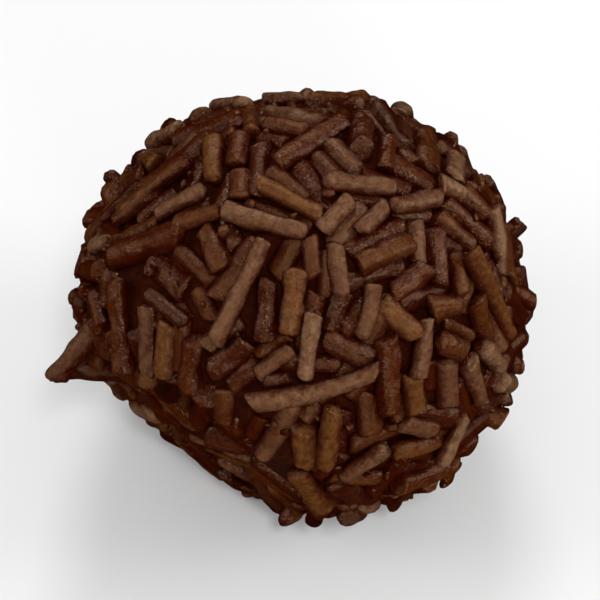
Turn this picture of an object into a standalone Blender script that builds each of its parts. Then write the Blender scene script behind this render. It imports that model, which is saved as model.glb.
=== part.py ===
"""Chocolate truffle: a soft fudge ball rolled in chocolate sprinkles.

One solid. The ball is a slightly squashed sphere with a few gentle lumps and one pressed side.
The sprinkles are short rods that lie over its surface and against each other, sunk a little into
the fudge and rolled level. They are fused to the ball, and all is flat where it rests.

Frame: metres, +Z up, origin on the plane that it rests on, under the middle of its outline.
The side that STANDING_OUT describes faces -Y and up. Every size named below is in millimetres.
"""

import math

import bmesh
import bpy
import numpy as np
from mathutils import Matrix, Vector

NAME = "truffle"
MM = 0.001

# The ball: its semi-axes, the place of its centre, and how far the coat of sprinkles stands out.
SEMI_AXES = np.array([13.65, 13.5, 13.2])
BALL_CENTRE = np.array([0.70, 0.20, 12.9])
COAT = 1.3
BALL_SUBDIVISIONS = 2

# The facing side is a disc square to this elevation, with places given as (across, up) from its
# middle, each as a share of the truffle's outer radius. They are places as an eye sees them that
# looks at the disc's middle from this distance, and each is found down its line of sight in steps.
FACING_ELEVATION = math.radians(50)
OUTER_RADIUS = 14.7
EYE_DISTANCE = 118
SIGHT_STEP = 0.05

# A surface is never taken as more edge-on than this, as the cosine of its slant.
LEAST_SLANT = 0.15

# The ball's lumps and hollows as (across, up, height, spread), and those strewn at random.
LUMPS = [
    (0.74, 0.46, 1.1, 0.020),
    (-0.95, -0.12, 0.3, 0.030),
    (0.50, -0.80, 0.8, 0.040),
    (0.96, -0.24, 0.5, 0.120),
    (-0.04, 0.98, -1.1, 0.050),
    (-0.74, 0.58, -0.4, 0.050),
]
RANDOM_LUMPS = 16
RANDOM_LUMP_HEIGHT = 0.28
RANDOM_LUMP_SPREAD = 0.06

# The pressed side, at the lower left: its direction, its distance from the centre, how softly it
# meets the round, how wide it is, how far the coat stands out in its middle, and how high the
# fudge is smeared between the sprinkles there.
PRESSED_SIDE = (-0.585, -0.761)
PRESSED_DISTANCE = 10.7
PRESSED_EASING = 0.3
PRESSED_SPREAD = 0.15
PRESSED_COAT = 0.8
SMEAR = 0.2

# How high the fudge is pressed up between the sprinkles.
FUDGE_RISE = 0.5

# The sprinkles: how many are strewn, the range of their sizes, and how much of one is sunk.
SPRINKLES = 280
LONGEST = 6.8
SHORTEST = 3.2
THICKEST = 1.75
THINNEST = 1.15
SUNK_SHARE = 0.34
SPRINKLE_SIDES = 5
SMOOTH_BELOW = math.radians(35)
SEED = 11

# Single sprinkles that stand out on the facing side:
# (across, up, heading in degrees, length, diameter, lift). Lengths and diameters are as the same
# eye sees them, so a nearer sprinkle is a little smaller than it looks.
STANDING_OUT = [
    # The middle.
    (-0.27, 0.04, 64, 7.6, 1.25, 0.15),
    (0.04, -0.21, 82, 4.4, 1.20, 0.1),
    (0.06, -0.39, 15, 8.6, 1.35, 0.15),
    (-0.16, 0.36, -15, 6.0, 1.20, 0.1),
    (-0.04, 0.45, -27, 4.8, 1.25, 0.0),
    (0.27, 0.52, -7, 4.9, 1.35, 0.1),
    (0.52, 0.44, 10, 4.2, 1.25, 0.1),
    (0.16, 0.38, 42, 3.0, 1.35, 0.1),
    (0.33, 0.37, 45, 3.0, 1.15, 0.0),
    (-0.03, -0.01, 83, 4.4, 1.50, 0.0),
    (-0.15, -0.04, 87, 3.9, 1.50, -0.2),
    (0.38, 0.21, 25, 4.4, 1.65, 0.0),
    (0.50, 0.09, 30, 3.6, 1.50, -0.1),
    (0.63, 0.19, -85, 3.8, 1.60, -0.1),
    (0.17, 0.14, -81, 3.4, 1.30, -0.1),
    (0.05, 0.19, -86, 2.8, 1.20, -0.2),
    (0.30, -0.05, 76, 3.6, 1.20, 0.0),
    (0.16, -0.06, 70, 2.4, 1.25, -0.2),
    (0.22, -0.22, -28, 3.8, 1.75, -0.2),
    (0.43, -0.08, -42, 3.5, 1.75, 0.0),
    (0.55, -0.21, 82, 3.8, 1.25, 0.0),
    (0.39, -0.34, 84, 5.6, 1.60, 0.0),
    (0.51, -0.42, 100, 3.2, 1.65, 0.0),
    (-0.12, -0.28, 37, 3.0, 1.10, 0.0),
    (-0.31, -0.25, 39, 3.2, 1.70, -0.1),
    (0.13, -0.62, 81, 5.2, 1.40, 0.1),
    (0.02, -0.64, 92, 3.4, 1.70, 0.0),
    (-0.34, -0.47, 88, 2.6, 1.40, 0.0),
    (0.31, -0.50, 75, 3.2, 1.60, -0.3),
    # The top.
    (0.04, 0.72, 34, 6.6, 1.50, 0.0),
    (0.27, 0.74, 90, 4.2, 1.75, 0.0),
    (0.18, 0.90, 3, 6.6, 1.20, 0.0),
    (-0.31, 0.87, 3, 4.2, 1.30, 0.0),
    (-0.07, 0.90, 0, 2.8, 1.10, 0.0),
    (-0.22, 0.80, -86, 3.2, 1.30, 0.0),
    (-0.07, 0.77, -12, 3.4, 1.40, -0.1),
    (-0.28, 0.67, 84, 3.0, 1.45, -0.1),
    (-0.27, 0.52, 88, 2.4, 1.30, 0.0),
    (-0.39, 0.63, 90, 4.0, 1.45, 0.0),
    (0.46, 0.85, 60, 2.8, 1.50, 0.0),
    (0.57, 0.66, -80, 4.4, 1.80, -0.1),
    (0.39, 0.66, 85, 3.4, 1.30, -0.1),
    # The left.
    (-0.68, 0.25, 22, 6.4, 1.95, 0.0),
    (-0.81, -0.12, 95, 6.0, 1.55, 0.1),
    (-0.69, -0.18, 90, 4.8, 1.25, 0.0),
    (-0.60, -0.21, 84, 3.4, 1.45, 0.0),
    (-0.49, -0.29, 83, 4.0, 1.60, 0.0),
    (-0.66, 0.50, 40, 6.2, 1.35, 0.0),
    (-0.79, 0.44, 47, 4.2, 1.15, -0.2),
    (-0.54, 0.44, 27, 3.9, 1.20, 0.0),
    (-0.46, 0.37, 22, 3.2, 1.20, 0.1),
    (-0.39, 0.24, -65, 3.4, 1.70, -0.2),
    (-0.90, 0.25, 18, 2.6, 1.20, 0.1),
    (-0.92, 0.13, 5, 2.8, 1.50, 0.0),
    (-0.91, -0.05, -75, 2.8, 1.30, 0.0),
    (-0.60, -0.04, -38, 3.8, 1.05, 0.0),
    (-0.58, 0.10, -40, 3.8, 2.20, -0.5),
    (-0.60, 0.73, 25, 3.6, 1.50, 0.0),
    (-0.66, 0.62, -30, 2.6, 1.40, 0.0),
    # The right.
    (0.85, 0.02, -59, 8.0, 1.40, 0.1),
    (0.70, 0.59, 88, 3.0, 1.50, 0.1),
    (0.68, 0.50, 20, 2.2, 1.40, 0.1),
    (0.88, 0.30, -80, 3.8, 1.30, 0.1),
    (0.78, -0.36, -72, 4.0, 1.40, 0.1),
    (0.66, -0.38, 92, 3.8, 1.70, 0.0),
    (0.71, 0.12, -80, 3.0, 1.30, 0.0),
    (0.65, -0.03, 10, 2.8, 1.60, 0.0),
    (0.81, -0.09, -78, 3.4, 1.60, 0.0),
    (0.68, -0.21, -20, 3.0, 1.60, 0.0),
    (0.86, -0.25, -55, 4.2, 1.40, 0.1),
    (0.92, -0.37, -10, 4.0, 1.40, 0.0),
    (0.53, -0.66, 3, 4.6, 1.35, 0.0),
    (0.68, -0.62, 47, 3.6, 1.10, 0.1),
    (0.53, -0.57, -12, 3.2, 1.30, 0.0),
    (0.29, -0.73, 36, 4.0, 1.35, 0.0),
    (0.05, -0.85, -48, 5.4, 1.75, 0.0),
    (0.55, -0.79, 20, 4.4, 1.60, 0.0),
    # The pressed side.
    (-0.23, -0.64, -12, 5.8, 2.10, -0.2),
    (-0.22, -0.78, -28, 5.4, 1.80, -0.2),
    (-0.68, -0.47, -35, 4.4, 1.90, -0.1),
    (-0.46, -0.71, -40, 4.6, 1.15, -0.2),
    (-0.27, -0.86, -28, 4.2, 1.15, -0.2),
]

# The two that leave the outline: (across, up, towards the facing side, heading, length, diameter),
# with places as shares of the outer radius. They lie flat as the facing side is seen.
STICKING_OUT = [
    (-0.98, -0.20, 0.30, 52, 5.8, 1.60),
    (-0.90, -0.31, 0.12, -3, 4.4, 1.60),
]

# How the sprinkles are strewn: scatter of place and of tilt, the height they start from, and how
# near one that stands out they may start, as a share of touching.
PLACE_SCATTER = 0.03
TILT_SCATTER = 0.12
DROP_HEIGHT = 0.4
CROWDED_SHARE = 0.55

# How they settle: every round they are shaken less, drawn to the ball, pushed apart, held out of
# the fudge, rolled level and kept off the floor. Those that stand out are eased apart first.
EASING_ROUNDS = 15
ROUNDS = 300
SHAKE = 0.05
SHAKEN_SHARE = 0.67
PULL = 0.03
APART_STIFFNESS = 0.45
FUDGE_STIFFNESS = 0.30
ROLLING_STIFFNESS = 0.35
TOUCH_SHARE = 0.96
FLOOR_SQUASH = 0.35
NEIGHBOUR_ROUNDS = 10
NEIGHBOUR_MARGIN = 0.4
STATIONS = (-1.0, -0.5, 0.0, 0.5, 1.0)
DECIMALS = 6

# The block that cuts the foot flat.
PLATE_SIDE = 60
PLATE_DEPTH = 6

# Slivers that the union leaves are closed up where an edge is shorter than this.
SHORTEST_EDGE = 0.001


def dots(a, b):
    """Row-by-row dot products."""
    return (a * b).sum(axis=-1)


def unit(vectors):
    """The same vectors at length one."""
    return vectors / np.sqrt(dots(vectors, vectors))[..., None]


def facing_axes():
    """The facing side's right, up and outward directions."""
    sine, cosine = math.sin(FACING_ELEVATION), math.cos(FACING_ELEVATION)
    right = np.array([1.0, 0.0, 0.0])
    up = np.array([0.0, sine, cosine])
    outward = np.array([0.0, -cosine, sine])
    return right, up, outward


def facing_direction(across, up_share):
    """Direction from the ball's centre to a place on the facing side."""
    right, up, outward = facing_axes()
    depth = math.sqrt(max(0.0, 1 - across**2 - up_share**2))
    return unit(across * right + up_share * up + depth * outward)


def looks_smaller(place):
    """How much smaller a thing is than it looks from the eye, as it lies nearer than the middle."""
    return 1 - dots(place, facing_axes()[2]) / EYE_DISTANCE


def heading_along_surface(place, heading):
    """Direction along the surface at a place that the eye sees point at a heading."""
    right, up, outward = facing_axes()
    sight = unit(outward * EYE_DISTANCE - place)
    flat = math.cos(heading) * right + math.sin(heading) * up
    depth = max(LEAST_SLANT, dots(unit(place), sight))
    return unit(flat - sight * dots(flat, unit(place)) / depth)


def all_lumps():
    """Every lump of the ball as (direction, height, spread)."""
    rng = np.random.default_rng(SEED)
    lumps = [(facing_direction(a, u), height, spread) for a, u, height, spread in LUMPS]
    for direction in unit(rng.normal(size=(RANDOM_LUMPS, 3))):
        height = RANDOM_LUMP_HEIGHT * rng.uniform(-1, 1)
        lumps.append((direction, height, RANDOM_LUMP_SPREAD))
    return lumps


BALL_LUMPS = all_lumps()


def ball_radius(directions):
    """Distance from the ball's centre to its surface along each direction."""
    radius = 1 / np.sqrt(dots(directions / SEMI_AXES, directions / SEMI_AXES))
    for direction, height, spread in BALL_LUMPS:
        radius = radius + height * np.exp((dots(directions, direction) - 1) / spread)
    slant = np.maximum(dots(directions, facing_direction(*PRESSED_SIDE)), LEAST_SLANT)
    plane = PRESSED_DISTANCE / slant
    return -PRESSED_EASING * np.logaddexp(-radius / PRESSED_EASING, -plane / PRESSED_EASING)


def pressed_share(directions):
    """How much of the pressed side is felt along each direction: 1 in its middle."""
    slant = dots(directions, facing_direction(*PRESSED_SIDE))
    return np.exp((slant - 1) / PRESSED_SPREAD)


def coat_depth(directions):
    """How far the coat of sprinkles stands out along each direction."""
    return COAT - (COAT - PRESSED_COAT) * pressed_share(directions)


def place_standing_out(across, up_share, diameter, lift):
    """Where the middle of a sprinkle lies that the eye sees at (across, up).

    It is the first place down the line of sight where the sprinkle is in the coat or, where the
    line passes the ball by, the nearest one, drawn in to the coat.
    """
    right, up, outward = facing_axes()
    depth = np.arange(OUTER_RADIUS, -OUTER_RADIUS / 2, -SIGHT_STEP)[:, None]
    sideways = (across * right + up_share * up) * OUTER_RADIUS
    places = sideways * (1 - depth / EYE_DISTANCE) + outward * depth
    reach = np.sqrt(dots(places, places))
    directions = places / reach[:, None]
    radius = diameter / 2 * (1 - depth[:, 0] / EYE_DISTANCE)
    height = reach + radius - ball_radius(directions) - coat_depth(directions) - lift
    inside = np.nonzero(height <= 0)[0]
    first = inside[0] if len(inside) else height.argmin()
    return places[first] * (1 - max(height[first], 0) / reach[first])


def sprinkles_sticking_out():
    """The sprinkles that leave the outline: centres, half axes and radii."""
    right, up, outward = facing_axes()
    centres, halves, radii = [], [], []
    for across, up_share, towards, heading, length, diameter in STICKING_OUT:
        place = (across * right + up_share * up) * OUTER_RADIUS
        place = place * (1 - towards * OUTER_RADIUS / EYE_DISTANCE)
        axis = math.cos(math.radians(heading)) * right + math.sin(math.radians(heading)) * up
        centres.append(place + towards * OUTER_RADIUS * outward)
        halves.append(axis * (length - diameter) / 2)
        radii.append(diameter / 2)
    return np.array(centres), np.array(halves), np.array(radii)


def sprinkles_standing_out():
    """The single sprinkles on the facing side: centres, half axes and radii."""
    centres, halves, radii = [], [], []
    for across, up_share, heading, length, diameter, lift in STANDING_OUT:
        place = place_standing_out(across, up_share, diameter, lift)
        smaller = looks_smaller(place)
        axis = heading_along_surface(place, math.radians(heading))
        centres.append(place)
        halves.append(axis * (length - diameter) / 2 * smaller)
        radii.append(diameter / 2 * smaller)
    return np.array(centres), np.array(halves), np.array(radii)


def sprinkles_strewn():
    """Sprinkles of mixed sizes spread evenly round the ball, not settled yet."""
    rng = np.random.default_rng(SEED)
    index = np.arange(SPRINKLES)
    height = 1 - 2 * (index + 0.5) / SPRINKLES
    turn = index * math.pi * (3 - math.sqrt(5))
    ring = np.sqrt(1 - height**2)
    spiral = np.stack([ring * np.cos(turn), ring * np.sin(turn), height], axis=1)
    directions = unit(spiral + rng.normal(scale=PLACE_SCATTER, size=spiral.shape))
    lengths = SHORTEST + (LONGEST - SHORTEST) * rng.beta(1.4, 2.0, SPRINKLES)
    radii = rng.uniform(THINNEST, THICKEST, SPRINKLES) / 2
    axes = unit(np.cross(directions, rng.normal(size=spiral.shape)))
    axes = unit(axes + directions * rng.normal(scale=TILT_SCATTER, size=(SPRINKLES, 1)))
    reach = ball_radius(directions) + radii + rng.uniform(0, DROP_HEIGHT, SPRINKLES)
    return directions * reach[:, None], axes * (lengths / 2 - radii)[:, None], radii


def nearby_pairs(centres, halves, radii):
    """Index pairs of sprinkles that are near enough to touch."""
    reach = np.sqrt(dots(halves, halves)) + radii + NEIGHBOUR_MARGIN
    gaps = centres[:, None] - centres[None]
    near = dots(gaps, gaps) < (reach[:, None] + reach[None]) ** 2
    return np.nonzero(np.triu(near, 1))


def closest_shares(gap, first, second):
    """Where two sprinkles come closest, each as a share from -1 to 1 of its half axis."""
    a, e, b = dots(first, first), dots(second, second), dots(first, second)
    c, f = dots(first, gap), dots(second, gap)
    spread = np.maximum(a * e - b * b, 1e-9)
    s = np.clip((b * f - c * e) / spread, -1, 1)
    t = np.clip((b * s + f) / e, -1, 1)
    s = np.clip((b * t - c) / a, -1, 1)
    return s, t


def clear_of(fixed, others):
    """The other sprinkles without those that start inside one of the fixed ones."""
    (centres, halves, radii), (own_centres, own_halves, own_radii) = fixed, others
    crowded = np.zeros(len(own_radii), bool)
    for row in range(len(own_radii)):
        gap = centres - own_centres[row]
        own_half = np.broadcast_to(own_halves[row], halves.shape)
        s, t = closest_shares(gap, halves, own_half)
        between = gap + s[:, None] * halves - t[:, None] * own_half
        apart = np.sqrt(dots(between, between))
        crowded[row] = (apart < CROWDED_SHARE * (radii + own_radii[row])).any()
    return tuple(values[~crowded] for values in others)


def push(moves, turns, rows, shares, force):
    """Adds a force at a share of each half axis, as a move and a turn of the sprinkle."""
    give = 1 / (1 + 3 * shares**2)
    np.add.at(moves, rows, force * give[:, None])
    np.add.at(turns, rows, force * (3 * shares * give)[:, None])


def push_apart(moves, turns, pairs, centres, halves, radii):
    """Pushes apart the sprinkles that overlap."""
    first, second = pairs
    gap = centres[first] - centres[second]
    s, t = closest_shares(gap, halves[first], halves[second])
    between = gap + s[:, None] * halves[first] - t[:, None] * halves[second]
    apart = np.sqrt(np.maximum(dots(between, between), 1e-12))
    overlap = np.maximum((radii[first] + radii[second]) * TOUCH_SHARE - apart, 0)
    force = between / apart[:, None] * (overlap * APART_STIFFNESS)[:, None]
    push(moves, turns, first, s, force)
    push(moves, turns, second, t, -force)


def press_on_ball(moves, turns, centres, halves, radii):
    """Draws each sprinkle to the ball, keeps it out of the fudge and the floor, and rolls it."""
    rows = np.arange(len(radii))
    for share in STATIONS:
        place = centres + share * halves
        reach = np.sqrt(dots(place, place))
        outward = place / reach[:, None]
        surface = ball_radius(outward)
        sunk = np.maximum(surface + radii * (1 - 2 * SUNK_SHARE) - reach, 0)
        proud = np.maximum(reach + radii - surface - coat_depth(outward), 0)
        strength = sunk * FUDGE_STIFFNESS - proud * ROLLING_STIFFNESS - PULL
        force = outward * strength[:, None]
        force[:, 2] += np.maximum(radii * (1 - FLOOR_SQUASH) - BALL_CENTRE[2] - place[:, 2], 0)
        push(moves, turns, rows, np.full(len(rows), share), force)


def moved(centres, halves, moves, turns, loose):
    """The sprinkles after one round: the loose ones shift and turn, and keep their lengths."""
    lengths = np.sqrt(dots(halves, halves))
    centres = np.round(centres + moves * loose[:, None], DECIMALS)
    halves = halves + turns * loose[:, None]
    halves = halves * (lengths / np.sqrt(dots(halves, halves)))[:, None]
    return centres, np.round(halves, DECIMALS)


def ease_apart(centres, halves, radii, loose):
    """Shifts the loose sprinkles out of each other, and no more than that."""
    pairs = nearby_pairs(centres, halves, radii)
    for _ in range(EASING_ROUNDS):
        moves, turns = np.zeros_like(centres), np.zeros_like(centres)
        push_apart(moves, turns, pairs, centres, halves, radii)
        centres, halves = moved(centres, halves, moves, turns, loose)
    return centres, halves, radii


def settle(centres, halves, radii, loose):
    """Lets the loose sprinkles come to rest on the ball and against each other."""
    rng = np.random.default_rng(SEED)
    for turn in range(ROUNDS):
        if turn % NEIGHBOUR_ROUNDS == 0:
            pairs = nearby_pairs(centres, halves, radii)
        shake = SHAKE * max(0.0, 1 - turn / (ROUNDS * SHAKEN_SHARE))
        moves = shake * rng.normal(size=centres.shape)
        turns = shake * rng.normal(size=centres.shape)
        push_apart(moves, turns, pairs, centres, halves, radii)
        press_on_ball(moves, turns, centres, halves, radii)
        centres, halves = moved(centres, halves, moves, turns, loose)
    return centres, halves, radii


def joined(first, second):
    """Two sets of sprinkles as one: centres, half axes and radii."""
    return tuple(np.concatenate(both) for both in zip(first, second))


def all_sprinkles():
    """Every sprinkle of the solid at rest: centres, half axes and radii."""
    sticking = sprinkles_sticking_out()
    rods = joined(sticking, sprinkles_standing_out())
    loose = np.arange(len(rods[2])) >= len(sticking[2])
    fixed = ease_apart(*rods, loose)
    rods = joined(fixed, clear_of(fixed, sprinkles_strewn()))
    loose = np.arange(len(rods[2])) >= len(fixed[2])
    return settle(*rods, loose)


def link(name, mesh, collection):
    """A new object for this mesh."""
    thing = bpy.data.objects.new(name, mesh)
    collection.objects.link(thing)
    return thing


def finished_mesh(shape, name):
    """A mesh from this bmesh, which is freed."""
    mesh = bpy.data.meshes.new(name)
    shape.to_mesh(mesh)
    shape.free()
    return mesh


def ball_mesh():
    """The fudge ball alone."""
    shape = bmesh.new()
    bmesh.ops.create_icosphere(shape, subdivisions=BALL_SUBDIVISIONS, radius=1)
    directions = unit(np.array([vert.co for vert in shape.verts]))
    reach = ball_radius(directions) + FUDGE_RISE + SMEAR * pressed_share(directions)
    points = directions * reach[:, None] + BALL_CENTRE
    for vert, point in zip(shape.verts, points):
        vert.co = Vector(point) * MM
    return finished_mesh(shape, "ball")


def sprinkle_mesh(centre, half, radius):
    """One sprinkle: a prism of few sides from end to end."""
    shape = bmesh.new()
    axis = Vector(half)
    bmesh.ops.create_cone(
        shape,
        cap_ends=True,
        segments=SPRINKLE_SIDES,
        radius1=radius * MM,
        radius2=radius * MM,
        depth=2 * (axis.length + radius) * MM,
    )
    place = Matrix.Translation(Vector(centre + BALL_CENTRE) * MM)
    shape.transform(place @ axis.to_track_quat("Z", "Y").to_matrix().to_4x4())
    return finished_mesh(shape, "sprinkle")


def plate_mesh():
    """The block under the resting plane."""
    shape = bmesh.new()
    bmesh.ops.create_cube(shape, size=1)
    size = Matrix.Diagonal((PLATE_SIDE * MM, PLATE_SIDE * MM, PLATE_DEPTH * MM, 1))
    shape.transform(Matrix.Translation((0, 0, -PLATE_DEPTH * MM / 2)) @ size)
    return finished_mesh(shape, "plate")


def apply_modifiers(thing):
    """Replaces the object's mesh with what its modifiers make of it."""
    bpy.context.view_layer.update()
    graph = bpy.context.evaluated_depsgraph_get()
    mesh = bpy.data.meshes.new_from_object(thing.evaluated_get(graph))
    thing.modifiers.clear()
    thing.data = mesh


def fuse_sprinkles(truffle):
    """Joins every sprinkle to the ball with one union."""
    heap = bpy.data.collections.new("sprinkles")
    bpy.context.scene.collection.children.link(heap)
    for number, (centre, half, radius) in enumerate(zip(*all_sprinkles())):
        link(f"sprinkle_{number:03d}", sprinkle_mesh(centre, half, radius), heap)
    union = truffle.modifiers.new("Sprinkles", "BOOLEAN")
    union.operation = "UNION"
    union.operand_type = "COLLECTION"
    union.collection = heap
    union.solver = "EXACT"
    apply_modifiers(truffle)
    for thing in list(heap.objects):
        bpy.data.objects.remove(thing)
    bpy.data.collections.remove(heap)


def flatten_foot(truffle):
    """Cuts the truffle flat where it rests."""
    plate = link("plate", plate_mesh(), bpy.context.scene.collection)
    cut = truffle.modifiers.new("Foot", "BOOLEAN")
    cut.operation = "DIFFERENCE"
    cut.object = plate
    cut.solver = "EXACT"
    apply_modifiers(truffle)
    bpy.data.objects.remove(plate)


def keep_outer_body(mesh):
    """Fills sealed hollows and drops loose scraps: only the largest closed surface stays."""
    shape = bmesh.new()
    shape.from_mesh(mesh)
    bmesh.ops.dissolve_degenerate(shape, edges=shape.edges, dist=SHORTEST_EDGE * MM)
    bmesh.ops.triangulate(shape, faces=shape.faces)
    unseen, bodies = set(shape.faces), []
    while unseen:
        queue, body = [unseen.pop()], []
        while queue:
            face = queue.pop()
            body.append(face)
            around = {other for edge in face.edges for other in edge.link_faces} & unseen
            unseen -= around
            queue.extend(around)
        bodies.append(body)
    bodies.sort(key=len)
    scraps = [face for body in bodies[:-1] for face in body]
    bmesh.ops.delete(shape, geom=scraps, context="FACES")
    shape.to_mesh(mesh)
    shape.free()


def chocolate():
    """Dark milk chocolate with a satin gloss."""
    material = bpy.data.materials.new("chocolate")
    material.use_nodes = True
    shader = material.node_tree.nodes["Principled BSDF"]
    shader.inputs["Base Color"].default_value = (0.075, 0.024, 0.010, 1)
    shader.inputs["Roughness"].default_value = 0.42
    shader.inputs["Metallic"].default_value = 0.0
    return material


def build():
    """The truffle: the ball with its sprinkles fused on, flat where it rests."""
    for thing in list(bpy.data.objects):
        bpy.data.objects.remove(thing)
    truffle = link(NAME, ball_mesh(), bpy.context.scene.collection)
    fuse_sprinkles(truffle)
    flatten_foot(truffle)
    keep_outer_body(truffle.data)
    truffle.data.materials.clear()
    truffle.data.materials.append(chocolate())
    truffle.data.shade_smooth()
    truffle.data.set_sharp_from_angle(angle=SMOOTH_BELOW)


build()
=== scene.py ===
"""Looks of the chocolate truffle: every sprinkle as a rounded rod of its own on a ball of fudge.

Sizes named below are in millimetres, and the meshes are made in metres. The ball, the sprinkles
that stand out and those strewn round them lie where the solid has them. Smaller ones, flattened
ones and crumbs fill the gaps between.
"""

import math

import bmesh
import bpy
import numpy as np
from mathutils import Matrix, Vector


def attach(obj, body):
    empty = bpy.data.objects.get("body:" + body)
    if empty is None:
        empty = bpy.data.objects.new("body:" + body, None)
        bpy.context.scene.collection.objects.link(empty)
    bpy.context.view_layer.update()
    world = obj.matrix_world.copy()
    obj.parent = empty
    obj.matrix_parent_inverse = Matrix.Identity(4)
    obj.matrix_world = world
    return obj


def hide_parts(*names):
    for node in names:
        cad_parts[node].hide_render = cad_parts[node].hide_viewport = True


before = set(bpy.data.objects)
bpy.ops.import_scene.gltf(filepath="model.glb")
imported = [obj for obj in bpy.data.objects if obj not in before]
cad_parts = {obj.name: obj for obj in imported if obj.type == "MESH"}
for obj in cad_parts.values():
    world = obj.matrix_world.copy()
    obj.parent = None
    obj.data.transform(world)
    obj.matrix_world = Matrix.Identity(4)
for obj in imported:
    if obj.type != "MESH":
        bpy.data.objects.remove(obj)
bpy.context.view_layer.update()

NODE = "truffle"
MM = 0.001

# The ball: its semi-axes, the place of its centre, and how far the coat of sprinkles stands out.
SEMI_AXES = np.array([13.65, 13.5, 13.2])
BALL_CENTRE = np.array([0.70, 0.20, 12.9])
COAT = 1.3

# Places on the facing side are (across, up) as shares of the outer radius, as an eye sees them
# that looks at the ball's middle from this elevation and distance.
FACING_ELEVATION = math.radians(50)
EYE_DISTANCE = 118
OUTER_RADIUS = 14.7
SIGHT_STEP = 0.05
LEAST_SLANT = 0.15

# The ball's lumps and hollows as (across, up, height, spread), and those strewn at random.
LUMPS = [
    (0.74, 0.46, 1.1, 0.020),
    (-0.95, -0.12, 0.3, 0.030),
    (0.50, -0.80, 0.8, 0.040),
    (0.96, -0.24, 0.5, 0.120),
    (-0.04, 0.98, -1.1, 0.050),
    (-0.74, 0.58, -0.4, 0.050),
]
RANDOM_LUMPS = 16
RANDOM_LUMP_HEIGHT = 0.28
RANDOM_LUMP_SPREAD = 0.06

# The pressed side: its direction, distance from the centre, softness, width, the depth of the coat
# in its middle, and how high the fudge is smeared there.
PRESSED_SIDE = (-0.585, -0.761)
PRESSED_DISTANCE = 10.7
PRESSED_EASING = 0.3
PRESSED_SPREAD = 0.15
PRESSED_COAT = 0.8
SMEAR = 0.35

# How high the fudge stands between the sprinkles.
FUDGE_RISE = 0.15

# The sprinkles strewn first, which the solid has too.
SPRINKLES = 280
LONGEST = 6.8
SHORTEST = 3.2
THICKEST = 1.75
THINNEST = 1.15
SUNK_SHARE = 0.34
SEED = 11

# The two shape numbers of the beta curve that mixes the lengths of both kinds.
LENGTH_MIX = (1.4, 2.0)

# The smaller ones strewn after them. None is left where the pressed side is felt more than the
# last value says.
FILLERS = 300
FILLER_LONGEST = 4.8
FILLER_SHORTEST = 1.9
FILLER_THICKEST = 1.55
FILLER_THINNEST = 1.05
FILLER_TILT = 0.45
FILLER_SEED = 23
FILLER_MOST_PRESSED = 0.45

# Looks of a sprinkle: tone from near-black to golden, bloom from none to pale, and gloss.
LOOKS = {
    "dark": (0.16, 0.0, 0.9),
    "red": (0.42, 0.0, 1.0),
    "brown": (0.56, 0.06, 0.5),
    "golden": (0.78, 0.14, 0.7),
    "pale": (0.62, 0.54, 0.8),
    "glossy": (0.28, 0.05, 1.0),
    "pressed": (0.26, 0.10, 1.0),
    "olive": (0.52, 0.40, 0.5),
    "milky": (0.80, 1.0, 0.9),
    "squashed": (0.50, 0.05, 1.0),
    "slick": (0.45, 0.45, 1.0),
}

# How often each look comes among the sprinkles that are strewn, and how far a look scatters.
LOOK_SHARES = {
    "dark": 0.20,
    "red": 0.28,
    "brown": 0.24,
    "golden": 0.14,
    "pale": 0.08,
    "glossy": 0.06,
}
LOOK_SCATTER = (0.08, 0.06, 0.1)

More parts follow.
